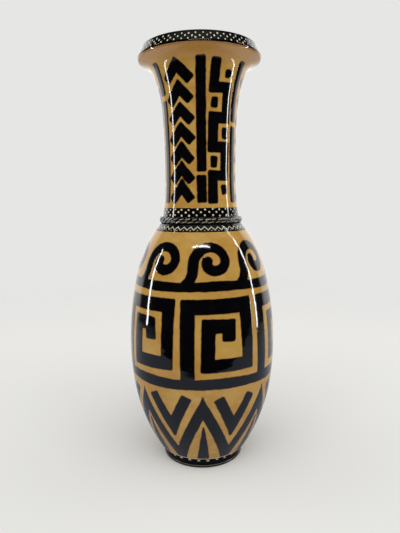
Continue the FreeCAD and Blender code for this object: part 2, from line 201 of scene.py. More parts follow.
def resampled(points, skip, leave, step):
    """The same run in even steps, with a length left off at each end."""
    lengths = np.r_[0.0, np.cumsum(np.hypot(*np.diff(points, axis=0).T))]
    count = max(2, math.ceil((lengths[-1] - skip - leave) / step) + 1)
    at = np.linspace(skip, lengths[-1] - leave, count)
    return np.c_[np.interp(at, lengths, points[:, 0]), np.interp(at, lengths, points[:, 1])]


def straight_runs(skin, *points):
    """Plain runs from point to point with sharp corners between them."""
    return [(line(start, end), PLAIN, 0.0, skin) for start, end in zip(points, points[1:])]


def outline(runs, closed=True):
    """Joins runs into one outline. Where a run has a bow at its start, the corner gives way to the curve
    (1-t)^2 a + 2t(1-t) corner + t^2 b between the places a bow's length away. Each run is its points,
    its step, its bow and the number of its skin."""
    rows, skins = [], []
    share = np.linspace(0.0, 1.0, CORNER_POINTS)[1:-1, None]
    for index, (points, step, bow, skin) in enumerate(runs):
        following = runs[(index + 1) % len(runs)][2] if closed or index + 1 < len(runs) else 0.0
        own = resampled(points, bow, following, step)
        if bow:
            before = resampled(runs[index - 1][0], 0.0, bow, step)[-1]
            curve = (1 - share) ** 2 * before + 2 * share * (1 - share) * points[0] + share ** 2 * own[0]
            own = np.r_[curve, own]
        elif index or closed:
            own = own[1:]
        rows.append(own)
        skins += [skin] * len(own)
    return np.concatenate(rows), np.array(skins)


def thrown(angle, height):
    """How far the potter's hands left the wall inside the true circle, in millimetres: a slow swell,
    swell (1 + sin(2a + lean h)), and faint throwing rings, ring (1 + sin(2 pi h / pitch + sway sin a))."""
    swell = SWELL * (1.0 + np.sin(2.0 * angle + SWELL_LEAN * height))
    rings = THROWING_RING * (1.0 + np.sin(height * FULL_TURN / RING_PITCH + RING_SWAY * np.sin(angle)))
    return swell + rings


def grid_faces(rows, columns, closed):
    """Corners of every face of a grid that closes round the axis, and round its outline if closed.
    A face goes right, then on along the outline, so that it looks away from the clay."""
    i = np.arange(rows if closed else rows - 1)[:, None]
    k = np.arange(columns)[None, :]
    after, right = (i + 1) % rows, (k + 1) % columns
    faces = np.stack([i * columns + k, i * columns + right, after * columns + right, after * columns + k], -1)
    return faces.reshape(-1, 4)


def make_piece(name, places, faces, poles, skins, materials):
    """Puts vertices, four-cornered faces and three-cornered ones at the poles into a mesh."""
    loops = np.concatenate([faces.ravel(), poles.ravel()]).astype(np.int32)
    sizes = np.r_[np.full(len(faces), 4), np.full(len(poles), 3)].astype(np.int32)
    mesh = bpy.data.meshes.new(name)
    mesh.vertices.add(len(places))
    mesh.vertices.foreach_set("co", (places * MM).ravel())
    mesh.loops.add(len(loops))
    mesh.loops.foreach_set("vertex_index", loops)
    mesh.polygons.add(len(sizes))
    mesh.polygons.foreach_set("loop_start", np.r_[0, np.cumsum(sizes)[:-1]].astype(np.int32))
    mesh.polygons.foreach_set("material_index", skins.astype(np.int32))
    for material in materials:
        mesh.materials.append(material)
    mesh.update(calc_edges=True)
    mesh.validate()
    mesh.shade_smooth()
    mesh.set_sharp_from_angle(angle=SHARP_CORNER)
    piece = bpy.data.objects.new(name, mesh)
    bpy.context.scene.collection.objects.link(piece)
    return piece


def coordinates(piece):
    """The three coordinates of every vertex, in millimetres."""
    places = np.empty(len(piece.data.vertices) * 3)
    piece.data.vertices.foreach_get("co", places)
    return places.reshape(-1, 3).T / MM


def turned(name, runs, columns, materials, closed=True):
    """Turns an outline about the axis: x = r sin a, y = -r cos a, z = height, with r drawn in by thrown,
    and less so near the axis. An outline that isn't closed starts and ends on the axis, where each end is
    one vertex."""
    rows, skins = outline(runs, closed)
    angle = np.arange(columns) * FULL_TURN / columns
    radius, height = rows[:, :1], rows[:, 1:]
    radius = radius - thrown(angle, height) * np.clip(radius / STILL_MIDDLE, 0.0, 1.0)
    height = np.broadcast_to(height, radius.shape)
    places = np.stack([radius * np.sin(angle), -radius * np.cos(angle), height], -1)
    if closed:
        faces = grid_faces(len(rows), columns, True)
        return make_piece(name, places.reshape(-1, 3), faces, np.empty((0, 3), int),
                          np.repeat(np.roll(skins, -1), columns), materials)
    inner = places[1:-1].reshape(-1, 3)
    faces = grid_faces(len(rows) - 2, columns, False)
    first, last = len(inner), len(inner) + 1
    k = np.arange(columns)
    right = (k + 1) % columns
    top = (len(rows) - 3) * columns
    poles = np.r_[np.c_[np.full(columns, first), right, k],
                  np.c_[top + k, top + right, np.full(columns, last)]]
    everywhere = np.r_[inner, places[0, :1], places[-1, :1]]
    row_skins = np.repeat(skins[2:-1], columns)
    pole_skins = np.r_[np.full(columns, skins[1]), np.full(columns, skins[-1])]
    return make_piece(name, everywhere, faces, poles, np.r_[row_skins, pole_skins], materials)


# The centres that the arcs share, and the outside of the vase as one run for measuring along it.
LOWER_TOP_CENTRE = level_centre(BELLY, LOWER_BEND)
LOWER_CENTRE = next_centre(LOWER_TOP_CENTRE, LOWER_BEND, BODY_BASE)
UPPER_CENTRE = level_centre(BELLY, UPPER_BEND)
SHOULDER_CENTRE = next_centre(UPPER_CENTRE, UPPER_BEND, SHOULDER)
NECK_LOW_CENTRE = level_centre(WAIST, NECK_BASE)
NECK_MID_CENTRE = level_centre(WAIST, NECK_BEND)
NECK_TOP_CENTRE = next_centre(NECK_MID_CENTRE, NECK_BEND, NECK_TOP)
FLARE_CENTRE = next_centre(NECK_TOP_CENTRE, NECK_TOP, FLARE_END)
INNER_NECK_TOP = on_arc_at(NECK_TOP_CENTRE, reach_to(NECK_TOP_CENTRE, NECK_TOP) + NECK_WALL, NECK_TOP[1], -1)

# The mouth seam from the outside in: level, up the tongue, over it, down and level again.
LIP_TONGUE_OUT = (NECK_TOP[0] + INNER_NECK_TOP[0] + LIP_TONGUE_WIDTH) / 2.0
LIP_TONGUE_IN = LIP_TONGUE_OUT - LIP_TONGUE_WIDTH
LIP_TONGUE_TOP = NECK_TOP[1] + LIP_TONGUE_HEIGHT
MOUTH_SEAM = [NECK_TOP, (LIP_TONGUE_OUT, NECK_TOP[1]), (LIP_TONGUE_OUT, LIP_TONGUE_TOP),
              (LIP_TONGUE_IN, LIP_TONGUE_TOP), (LIP_TONGUE_IN, NECK_TOP[1]), INNER_NECK_TOP]

OUTSIDE = np.concatenate([
    arc(BODY_BASE, LOWER_BEND, LOWER_CENTRE),
    arc(LOWER_BEND, BELLY, LOWER_TOP_CENTRE)[1:],
    arc(BELLY, UPPER_BEND, UPPER_CENTRE)[1:],
    arc(UPPER_BEND, SHOULDER, SHOULDER_CENTRE)[1:],
    arc(NECK_BASE, WAIST, NECK_LOW_CENTRE),
    arc(WAIST, NECK_BEND, NECK_MID_CENTRE)[1:],
    arc(NECK_BEND, NECK_TOP, NECK_TOP_CENTRE)[1:],
    arc(NECK_TOP, FLARE_END, FLARE_CENTRE)[1:],
])
CLIMB = np.r_[0.0, np.cumsum(np.hypot(*np.diff(OUTSIDE, axis=0).T))]


def climb(height):
    """Length along the outside of the vase from the foot up to a height."""
    return np.interp(height, OUTSIDE[:, 1], CLIMB)


def girth_radius(height):
    """Radius of the outside at a height."""
    return np.interp(height, OUTSIDE[:, 1], OUTSIDE[:, 0])


# Brushwork

BRUSH_ROUND = 2.2
BRUSH_BREATH = 0.05
SHARP_TURN = math.radians(25.0)
MITRE_OVERLAP = 1.0
NO_STROKE = 20.0
STROKE_REACH = 26.0
hand = np.random.default_rng(11)


def stroke(points, width, centre=0.0, spread=None, unsteady=0.7):
    """A brush stroke through points given as millimetres round from its centre line, and height. Its
    corners stray a little and its width breathes. The result is an angle, a climb and a half width for
    every point. The centre is in degrees, and spread is the radius that turns millimetres to angles."""
    points = np.array(points, float)
    radius = girth_radius(points[:, 1]) if spread is None else spread
    angles = math.radians(centre) + points[:, 0] / radius
    stray = hand.normal(0.0, unsteady, (len(points), 2))
    halves = width / 2.0 * (1.0 + hand.normal(0.0, BRUSH_BREATH, len(points)))
    return np.c_[angles + stray[:, 0] / radius, climb(points[:, 1]) + stray[:, 1], halves]


def nearest_turn(angle):
    """The same angle, brought between minus and plus half a turn."""
    return (angle + math.pi) % FULL_TURN - math.pi


def end_distance(u, v, half, beyond, square):
    """Distance to a stroke's end, where u is how far past the end a place lies and v how far aside: a
    rounded box if square, otherwise a half circle."""
    if not square:
        return np.hypot(np.maximum(u, 0.0), v) - half
    past = u - beyond + BRUSH_ROUND
    aside = np.abs(v) - half + BRUSH_ROUND
    inside = np.minimum(np.maximum(past, aside), 0.0)
    return inside + np.hypot(np.maximum(past, 0.0), np.maximum(aside, 0.0)) - BRUSH_ROUND


def end_shape(turn, half):
    """How far a span runs past its end to fill a mitre, and whether that end is square. The turn is the
    angle to the next span, or None where the stroke ends."""
    return half * math.tan(turn / 2.0) if turn else 0.0, turn is None or turn > SHARP_TURN


def stroke_distance(angle, height, radius, strokes):
    """Distance in millimetres from every vertex to the edge of the nearest stroke, less than nothing
    inside it. A span is a rounded box from point to point, in millimetres round and millimetres climbed
    from the vertex. Sharp turns are mitred, slight ones are round."""
    level = climb(height)
    nearest = np.full(len(angle), NO_STROKE)
    for points in strokes:
        reach = girth_radius(np.interp(points[:, 1], CLIMB, OUTSIDE[:, 1]))
        flat = np.c_[points[:, 0] * reach.mean(), points[:, 1]]
        ways = np.diff(flat, axis=0)
        lengths = np.hypot(ways[:, 0], ways[:, 1])
        ways = ways / lengths[:, None]
        cross = ways[:-1, 0] * ways[1:, 1] - ways[:-1, 1] * ways[1:, 0]
        turns = np.abs(np.arctan2(cross, (ways[:-1] * ways[1:]).sum(1)))
        for n in range(len(ways)):
            (a, ca, ha), (b, cb, hb) = points[n], points[n + 1]
            middle, half_span = (a + b) / 2.0, (b - a) / 2.0
            off = nearest_turn(middle - angle) * radius
            close = (np.abs(off) < abs(half_span) * radius + STROKE_REACH) & (
                np.abs((ca + cb) / 2.0 - level) < abs(cb - ca) / 2.0 + STROKE_REACH)
            if not close.any():
                continue
            here, off = radius[close], off[close]
            ax, bx = off - half_span * here, off + half_span * here
            ay, by = ca - level[close], cb - level[close]
            length = np.hypot(bx - ax, by - ay)
            wx, wy = (bx - ax) / length, (by - ay) / length
            u, v = -(ax * wx + ay * wy), ax * wy - ay * wx
            half = ha + (hb - ha) * np.clip(u / length, 0.0, 1.0)
            before = turns[n - 1] if n else None
            after = turns[n] if n < len(turns) else None
            low_end = end_distance(-u, v, half, *end_shape(before, ha))
            high_end = end_distance(u - length, v, half, *end_shape(after, hb))
            span = np.where(u < length / 2.0, low_end, high_end)
            if before is not None and before > SHARP_TURN:
                mitre = ways[n - 1] + ways[n]
                mitre = mitre / np.hypot(*mitre)
                span = np.maximum(span, (ax * mitre[0] + ay * mitre[1]) - MITRE_OVERLAP)
            if after is not None and after > SHARP_TURN:
                mitre = ways[n] + ways[n + 1]
                mitre = mitre / np.hypot(*mitre)
                span = np.maximum(span, -(bx * mitre[0] + by * mitre[1]) - MITRE_OVERLAP)
            nearest[close] = np.minimum(nearest[close], span)
    return nearest


def ring_stroke(height, width):
    """A stroke that goes right round the vase at a height, rising and falling a little."""
    overlap = 0.2
    turns = np.linspace(-overlap, FULL_TURN + overlap, 40)
    wander = 0.6 * np.sin(3.0 * turns + 1.0) + 0.4 * np.sin(5.0 * turns)
    breath = 1.0 + 0.06 * np.sin(7.0 * turns)
    return np.c_[turns, climb(height) + wander, width / 2.0 * breath]


def foot_rays():
    """Seven pointed arches round the foot as one zigzag, a tapering ray in each, and a V between them."""
    count = 7
    step = 360.0 / count
    arch_top, arch_foot, arch_half_width = 93.0, 19.0, 6.4
    ray_points, ray_width, ray_taper = [(0, 8), (0, 36), (0.5, 68)], 15.0, [1.0, 0.75, 0.12]
    vee_points, vee_width = [(-20, 106), (0, 65), (20, 106)], 12.4
    zigzag = []
    for n in range(count + 1):
        zigzag += [(n * step, arch_top), ((n + 0.5) * step, arch_foot)]
    zigzag = np.array(zigzag)
    stray = hand.normal(0.0, 0.012, len(zigzag) - 2)
    angles = np.radians(zigzag[:, 0]) + np.r_[stray, stray[:2]]
    strokes = [np.c_[angles, climb(zigzag[:, 1]), np.full(len(zigzag), arch_half_width)]]
    for n in range(count):
        ray = stroke(ray_points, ray_width, n * step, 60.0)
        ray[:, 2] *= ray_taper
        strokes.append(ray)
        strokes.append(stroke(vee_points, vee_width, (n + 0.5) * step, 84.0))
    return strokes


def belly_keys():
    """Six square keys standing on a ring. One key, in steps of a quarter of its width and height: up from
    the ring, across the top, down, back, up, across and down again."""
    path = [(0, 0), (0, 4), (3, 4), (3, 1), (1, 1), (1, 3), (2, 3), (2, 2.15)]
    across, up, base = 23.6, 22.0, 122.0
    count, first, key_width, ring_width = 6, 12.0, 15.2, 12.2
    strokes = [ring_stroke(base, ring_width)]
    for n in range(count):
        points = [(x * across - 1.5 * across, base + y * up) for x, y in path]
        strokes.append(stroke(points, key_width, n * 360.0 / count + first, BELLY[0]))
    return strokes


def shoulder_waves():
    """Eight curling waves on a ring. Each rises from it and winds inwards: the radius of the curl falls
    evenly from 21 to 5 mm over 385 degrees."""
    count, first, spread, half_width = 8, 8.0, 71.0, 5.7
    ring_height, ring_width = 230.5, 10.4
    wave_low, wave_high, drawn_height = 231.0, 283.0, 57.0
    centre_x, centre_y, curl_turn, curl_points = 3.0, 28.0, 385.0, 23
    rise = np.array([(-27.0, 0.0), (-21.5, 6.0), (-18.6, 15.0)])
    strokes = [ring_stroke(ring_height, ring_width)]
    base, top = climb(wave_low), climb(wave_high)
    scale = (top - base) / drawn_height
    turn = np.radians(np.linspace(180.0, 180.0 - curl_turn, curl_points))
    reach = np.linspace(21.0, 5.2, curl_points)
    curl = np.c_[centre_x + reach * np.cos(turn), centre_y + reach * np.sin(turn)]
    path = np.r_[rise, curl]
    path_climb = base + path[:, 1] * scale
    standing = np.clip(path[:, 1] / 10.0, 0, 1)
    for n in range(count):
        sway = hand.normal(0.0, 0.5, 2)
        wave_angle = math.radians(n * 360.0 / count + first) + (path[:, 0] + sway[0]) / spread
        halves = half_width * (1.0 + 0.06 * np.sin(np.linspace(0.0, 9.0, len(path)) + n))
        strokes.append(np.c_[wave_angle, path_climb + sway[1] * standing, halves])
    return strokes


def neck_columns():
    """Three columns of stacked chevrons and three upright square waves with a dab in every bay, kept apart
    by six bars, each of them broken once."""
    strokes = []
    spread, steady, steadier = 44.5, 0.5, 0.4
    chevron_low, chevron_pitch, chevron_side, chevron_rise, chevron_width = 324.0, 21.9, 13.6, 14.6, 11.8
    bar_low, bar_high, bar_side, bar_width, bar_gap = 322.0, 477.5, 24.6, 10.8, 5.0
    levels = [321.0, 352.0, 384.0, 416.0, 448.0, 476.5]
    wave_side, wave_width, dab_side, dab_width, dab_clearance = 8.3, 11.6, 6.8, 8.6, 9.8
    for n in range(3):
        middle = n * 120.0 - 30.0
        for level in range(7):
            low = chevron_low + chevron_pitch * level
            points = [(-chevron_side, low), (0, low + chevron_rise), (chevron_side, low)]
            strokes.append(stroke(points, chevron_width, middle, spread, steady))
        for side, gap in ((-bar_side, 438.0 - 30.0 * n), (bar_side, 352.0 + 30.0 * n)):
            for low, high in ((bar_low, gap), (gap + bar_gap, bar_high)):
                strokes.append(stroke([(side, low), (side, high)], bar_width, middle, spread, steady))
        points = []
        for bay in range(5):
            side = -wave_side if bay % 2 == 0 else wave_side
            points += [(side, levels[bay]), (side, levels[bay + 1])]
        strokes.append(stroke(points, wave_width, middle + 60.0, spread, steadier))
        for bay in range(5):
            side = dab_side if bay % 2 == 0 else -dab_side
            points = [(side, levels[bay] + dab_clearance), (side, levels[bay + 1] - dab_clearance)]
            strokes.append(stroke(points, dab_width, middle + 60.0, spread, steadier))
    return strokes


STROKES = foot_rays() + belly_keys() + shoulder_waves() + neck_columns()


def paint(piece):
    """Gives every vertex its distance to the edge of the nearest brush stroke, in millimetres."""
    x, y, z = coordinates(piece)
    radius = np.maximum(np.hypot(x, y), 1.0)
    distance = stroke_distance(np.arctan2(x, -y), z, radius, STROKES)
    piece.data.attributes.new("stroke", "FLOAT", "POINT").data.foreach_set("value", distance)
    return piece


# Shader maths

# How strongly light bends in each skin.
GLOSS_IOR = 1.5
THIN_GLAZE_IOR = 1.26
CLAY_IOR = 1.45


class Wire:
    """A number that runs between the nodes of a finish. Arithmetic on it adds Math nodes."""

    def __init__(self, finish, socket):
        self.finish, self.socket = finish, socket

    def maths(self, operation, *values):
        """A new wire: the operation done to the values."""
        return self.finish.out("ShaderNodeMath", dict(enumerate(values)), operation=operation)

    def __add__(self, other):
        return self.maths("ADD", self, other)

    def __sub__(self, other):
        return self.maths("SUBTRACT", self, other)

    def __rsub__(self, other):
        return self.maths("SUBTRACT", other, self)

    def __mul__(self, other):
        return self.maths("MULTIPLY", self, other)

    def __truediv__(self, other):
        return self.maths("DIVIDE", self, other)

    def __rtruediv__(self, other):
        return self.maths("DIVIDE", other, self)

    def __neg__(self):
        return self.maths("MULTIPLY", self, -1.0)

    def __abs__(self):
        return self.maths("ABSOLUTE", self)

    def __mod__(self, other):
        return self.maths("FLOORED_MODULO", self, other)

    __radd__ = __add__
    __rmul__ = __mul__

    def floor(self):
        return self.maths("FLOOR", self)

    def sine(self):
        return self.maths("SINE", self)

    def root(self):
        return self.maths("SQRT", self)

    def most(self, other):
        return self.maths("MAXIMUM", self, other)

    def ramp(self, low, high, start=0.0, end=1.0):
        """From start to end in a smooth S as the number goes from low to high."""
        return self.finish.out("ShaderNodeMapRange", {0: self, 1: low, 2: high, 3: start, 4: end},
                               interpolation_type="SMOOTHSTEP")

    def above(self, level, soft):
        """Nought below a level and one above it, with a soft step between."""
        return self.ramp(level - soft, level + soft)

    def below(self, level, soft):
        """One below a level and nought above it, with a soft step between."""
        return self.ramp(level - soft, level + soft, 1.0, 0.0)


class Finish:
    """The nodes of a material or of the world."""

    def __init__(self, owner):
        owner.use_nodes = True
        self.owner, self.tree = owner, owner.node_tree
        self.tree.nodes.clear()

    def add(self, kind, values=None, **settings):
        """Adds a node of a kind, makes its settings, then fills its sockets with values or wires."""
        node = self.tree.nodes.new(kind)
        for key, value in settings.items():
            setattr(node, key, value)
        for key, value in (values or {}).items():
            if isinstance(value, Wire):
                self.tree.links.new(value.socket, node.inputs[key])
            else:
                node.inputs[key].default_value = value
        return node

    def out(self, kind, values=None, output=0, **settings):
        """Adds a node and gives one of its outputs as a wire."""
        return Wire(self, self.add(kind, values, **settings).outputs[output])

    def parts(self, vector):
        """The three parts of a vector or a colour."""
        node = self.add("ShaderNodeSeparateXYZ", {0: vector})
        return [Wire(self, node.outputs[n]) for n in range(3)]

    def place(self):
        """The place on the piece in metres, and its parts in millimetres."""
        spot = self.out("ShaderNodeTexCoord", output="Object")
        return spot, [part / MM for part in self.parts(spot)]

    def noise(self, spot, size, detail=2.0, rough=0.5):
        """Soft noise from nought to one, whose lumps are about a size in millimetres."""
        values = {"Vector": spot, "Scale": 1.0 / (size * MM), "Detail": detail, "Roughness": rough}
        return self.out("ShaderNodeTexNoise", values)

    def chance(self, *numbers):
        """Three even chances from nought to one for every set of whole numbers."""
        vector = self.out("ShaderNodeCombineXYZ", dict(enumerate(numbers)))
        colour = self.out("ShaderNodeTexWhiteNoise", {"Vector": vector}, "Color", noise_dimensions="3D")
        return self.parts(colour)

    def mix(self, share, first, second):
        """A colour between two others."""
        return self.out("ShaderNodeMix", {0: share, 6: first, 7: second}, 2, data_type="RGBA")

    def finish(self, colour, roughness, relief, ior=GLOSS_IOR):
        """Ends a material in one shader, over a relief given in millimetres."""
        bump = self.out("ShaderNodeBump", {"Height": relief, "Distance": MM, "Strength": 1.0})
        values = {"Base Color": colour, "Roughness": roughness, "Normal": bump, "IOR": ior}
        self.add("ShaderNodeOutputMaterial", {0: self.out("ShaderNodeBsdfPrincipled", values)})
        return self.owner


# Glazes

OCHRE = rgb(169, 133, 66)
OCHRE_DEEP = rgb(160, 119, 54)
OCHRE_PALE = rgb(185, 151, 88)
FLARE_TAN_AND_SHADE = rgb(164, 118, 58)
RIM_BROWN = rgb(134, 94, 60)
BLACK = rgb(4, 4, 6)
BLACK_THIN = rgb(14, 11, 12)
EDGE_BROWN = rgb(104, 66, 26)
CREAM = rgb(198, 190, 162)
EDGE_PALE_AND_HIGHLIGHT = rgb(206, 176, 146)
FOOT_BROWN = rgb(34, 24, 22)
FOOT_PAINTED_HIGHLIGHT = rgb(136, 126, 118)
CLAY = rgb(176, 138, 104)
CLAY_DARK = rgb(140, 104, 76)

INK_SOFT = 0.3
BORDER_DEPTH = 3.0
STROKE_RELIEF = 0.05
DOT_RELIEF = 0.06
DOT_SOFT = 0.22


def glaze(name):
    """The nodes of a new material, the place on the piece, the angle round the vase and the height."""
    finish = Finish(bpy.data.materials.new(name))
    spot, (x, y, z) = finish.place()
    return finish, spot, x.maths("ARCTAN2", x, -y), z


def inked(finish, wander, border):
    """The distance to the edge of the brushwork, from the stroke attribute, made uneven and joined to a
    border; and the ink, one inside and nought outside."""
    edge = finish.out("ShaderNodeAttribute", output="Fac", attribute_name="stroke") + wander
    edge = edge * (1.0 - border) - border * BORDER_DEPTH
    return edge, edge.below(0.0, INK_SOFT)


def ochre_ground(finish, spot):
    """Honey glaze: mottled, paler where it is thin, with faint brush drags round the vase."""
    cloud = finish.noise(spot, 34.0, 3.0)
    stretched = finish.out("ShaderNodeMapping", {"Vector": spot, "Scale": (1.0, 1.0, 2.5)})
    drag = finish.noise(stretched, 15.0, 3.0, 0.6)
    speck = finish.noise(spot, 3.2, 2.0)
    colour = finish.mix(cloud.ramp(0.35, 0.68), OCHRE, OCHRE_DEEP)
    colour = finish.mix(drag.ramp(0.42, 0.8) * 0.45, colour, OCHRE_PALE)
    return finish.mix(speck.ramp(0.62, 0.78) * 0.25, colour, OCHRE_DEEP)


def glaze_relief(finish, spot):
    """Waves of a thick glaze, in millimetres: slow ones from the throwing and a fine orange peel."""
    return finish.noise(spot, 17.0, 2.0) * 0.16 + finish.noise(spot, 4.2, 2.0) * 0.012


def dabs(finish, angle, height, count, rows, pitch, girth, size, seed):
    """Hand-set dots: one in every cell of a staggered grid, off its middle and off its size by chance.
    Rows are the height of the first and the lift to the next, pitch is how far dots may stray, girth is
    the length of a cell. The result is one inside a dot, falling to nought over its edge."""
    low, lift = rows
    row = ((height - low) / lift).floor()
    turn = angle * (count / FULL_TURN) + row * 0.5
    column = turn.floor()
    aside, above, bulk = finish.chance(column % count, row, float(seed))
    across = (turn - column - 0.5) * girth + (aside - 0.5) * (pitch * 0.22)
    up = height - low - (row + 0.5) * lift + (above - 0.5) * (pitch * 0.16)
    reach = (across * across + up * up).root()
    return (reach - size * (0.8 + bulk * 0.4)).below(0.0, DOT_SOFT)


def band(height, low, high, soft=0.25):
    """One between two heights."""
    return height.above(low, soft) * height.below(high, soft)


def painted(name, trim, trim_colour=CREAM):
    """Ochre glaze with black brushwork from the stroke attribute, brown where its edge bleeds. The trim
    gives a black border and the marks of another colour on it."""
    finish, spot, angle, z = glaze(name)
    wander = (finish.noise(spot, 7.0, 2.0) - 0.5) * 1.5 + (finish.noise(spot, 1.8, 2.0) - 0.5) * 0.35
    border, marks = trim(finish, angle, z, wander)
    edge, ink = inked(finish, wander, border)
    colour = ochre_ground(finish, spot)
    colour = finish.mix(edge.ramp(0.0, 1.1, 0.75, 0.0), colour, EDGE_BROWN)
    thin = finish.noise(spot, 9.0, 3.0).ramp(0.5, 0.8) * 0.6
    black = finish.mix(thin, BLACK, BLACK_THIN)
    colour = finish.mix(ink, colour, black)
    colour = finish.mix(marks, colour, trim_colour)
    relief = glaze_relief(finish, spot) + ink * STROKE_RELIEF + marks * DOT_RELIEF
    rough = 0.05 + finish.noise(spot, 60.0).ramp(0.3, 0.8) * 0.05
    return finish.finish(colour, rough, relief)


def dotted_border(finish, angle, height, wander):
    """The black border at the foot of the neck, with three rows of cream dots."""
    top, rows, dots_round = 316.0, (305.9, 3.3), 32
    border = (height + wander * 0.5).below(top, 0.3)
    dots = dabs(finish, angle, height, dots_round, rows, 7.6, 9.0, 1.0, 3.0)
    return border, dots * height.ramp(top - 0.4, top - 0.1, 1.0, 0.0)


def foot_line(finish, angle, height, wander):
    """No border, and the lowest edge of the body, pale where the glaze has run off and with a painted
    highlight along the edge.
    """
    line_top = FOOT_TOP + 1.9
    # Partly pale glaze and partly a painted highlight along the body's rounded bottom edge.
    return 0.0, (height + wander * 0.3).below(line_top, 0.3) * 0.8


def zigzag_border(finish, angle, height, wander):
    """The black border on the shoulder, with a cream zigzag of 42 points and a dot under each."""
    points_round, point_pitch, dot_height = 42.0, 8.0, 290.7
    border_low, line_low, line_rise, steepness = 288.7, 291.4, 3.4, 0.66
    border = (height + wander * 0.4).above(border_low, 0.3)
    swing = angle * (points_round / FULL_TURN)
    phase = swing - swing.floor()
    peak = 1.0 - abs(phase - 0.5) * 2.0
    jump, _, bulk = finish.chance(swing.floor() % points_round, 0.0, 5.0)
    line_height = line_low + peak * line_rise + (jump - 0.5) * 0.5
    zigzag = (abs(height - line_height) * steepness).ramp(0.24, 0.58, 1.0, 0.0)
    across = (phase - 0.5) * point_pitch
    up = (height - dot_height) * 1.25
    dot = ((across * across + up * up).root() - 0.45 - bulk * 0.25).below(0.0, 0.15)
    return border, zigzag.most(dot) * 0.75


def lip_glaze(name):
    """The mouth: ochre underside, darker and tanner on the flare, partly its own tone and partly painted
    shade under the lip; a browner rim, and a black bevel with three rows of dots.
    """
    finish, spot, angle, z = glaze(name)
    wander = (finish.noise(spot, 7.0, 2.0) - 0.5) * 1.5
    bevel = (z + wander * 0.3).ramp(LIP_EDGE[1] - 1.3, LIP_EDGE[1] - 0.8)
    edge, ink = inked(finish, wander, bevel)
    along = (z - LIP_EDGE[1]) * BEVEL_SLANT
    rows, dots_round = (1.35, 3.05), 58
    dots = dabs(finish, angle, along, dots_round, rows, 6.6, 9.5, 1.0, 9.0)
    dots = dots * along.ramp(10.3, 10.6, 1.0, 0.0) * along.ramp(1.3, 1.5)
    colour = ochre_ground(finish, spot)
    # Partly the underside's own tan and partly painted shade: the flare under the lip darkens towards it.
    colour = finish.mix(z.ramp(NECK_TOP[1], FLARE_END[1]) * 0.7, colour, FLARE_TAN_AND_SHADE)
    rim = band(z + wander * 0.2, LIP_UNDER[1] + 0.1, LIP_EDGE[1], 0.3)
    colour = finish.mix(rim * 0.75, colour, RIM_BROWN)
    colour = finish.mix(edge.ramp(0.0, 1.0, 0.7, 0.0), colour, EDGE_BROWN)
    colour = finish.mix(ink, colour, BLACK)
    colour = finish.mix(dots, colour, CREAM)
    relief = glaze_relief(finish, spot) + ink * STROKE_RELIEF + dots * 0.07
    return finish.finish(colour, 0.06 + finish.noise(spot, 40.0) * 0.04, relief)


def cordon_glaze(name):
    """The cordon: black glaze with two staggered rows of long cream dashes laid along its strands."""
    dashes_round, first_row, row_lift, dash_pitch = 40.0, 1.2, 3.2, 8.0
    half_length, half_height, dash_slope, dash_strength = 1.9, 0.5, 0.16, 0.36
    finish, spot, angle, z = glaze(name)
    height = z - COLLAR
    row = ((height - first_row) / row_lift).floor()
    turn = angle * (dashes_round / FULL_TURN) + row * 0.5
    column = turn.floor()
    aside, above, bulk = finish.chance(column % dashes_round, row, 4.0)
    across = (turn - column - 0.5) * dash_pitch + (aside - 0.5) * 1.6
    up = height - first_row - (row + 0.5) * row_lift - across * dash_slope + (above - 0.5) * 0.5
    past = (abs(across) - half_length - bulk * 0.9).most(0.0)
    dash = ((past * past + up * up).root() - half_height - bulk * 0.25).ramp(-0.25, 0.2, 1.0, 0.0)
    marks = dash * band(height, 1.3, 7.5, 0.1) * dash_strength
    cloud = finish.noise(spot, 5.0, 3.0)
    colour = finish.mix(cloud.ramp(0.5, 0.8) * 0.8, BLACK, BLACK_THIN)
    colour = finish.mix(marks, colour, CREAM)
    relief = finish.noise(spot, 3.5, 2.0) * 0.06 + marks * 0.05
    return finish.finish(colour, 0.08 + cloud * 0.05, relief)


def foot_glaze(name):
    """The foot: black glaze, small cream squares under the body, brown where it thins at the bead, and a
    painted highlight along the bead's corner."""
    squares_round, square_pitch, half_width, half_height, middle = 28.0, 11.2, 1.35, 1.0, 9.3
    finish, spot, angle, z = glaze(name)
    turn = angle * (squares_round / FULL_TURN)
    column = turn.floor()
    aside, above, bulk = finish.chance(column % squares_round, 0.0, 8.0)
    across = abs((turn - column - 0.5) * square_pitch + (aside - 0.5) * 1.2) - half_width - bulk * 0.4
    up = abs(z - middle + (above - 0.5) * 0.5) - half_height
    squares = across.most(up).ramp(-0.2, 0.25, 1.0, 0.0)
    wear_and_highlight = finish.noise(spot, 6.0, 3.0)
    colour = finish.mix(z.ramp(2.4, 3.6, 1.0, 0.0) * (0.5 + wear_and_highlight * 0.5), BLACK, FOOT_BROWN)
    # Painted highlight: a pale line along the bead's corner, where its edge would catch the light.
    colour = finish.mix(band(z, 2.5, 3.0, 0.3) * (0.25 + wear_and_highlight * 0.6), colour, FOOT_PAINTED_HIGHLIGHT)
    colour = finish.mix(squares * 0.7, colour, CREAM)
    relief = finish.noise(spot, 9.0, 2.0) * 0.1 + squares * 0.05
    return finish.finish(colour, 0.12 + wear_and_highlight * 0.06, relief, THIN_GLAZE_IOR)


def dark_glaze(name):
    """The black glaze inside, flowing and a little uneven."""
    finish = Finish(bpy.data.materials.new(name))
    spot, _ = finish.place()
    cloud = finish.noise(spot, 22.0, 3.0)
    colour = finish.mix(cloud.ramp(0.45, 0.75), BLACK, FOOT_BROWN)
    return finish.finish(colour, 0.1 + cloud * 0.08, glaze_relief(finish, spot))


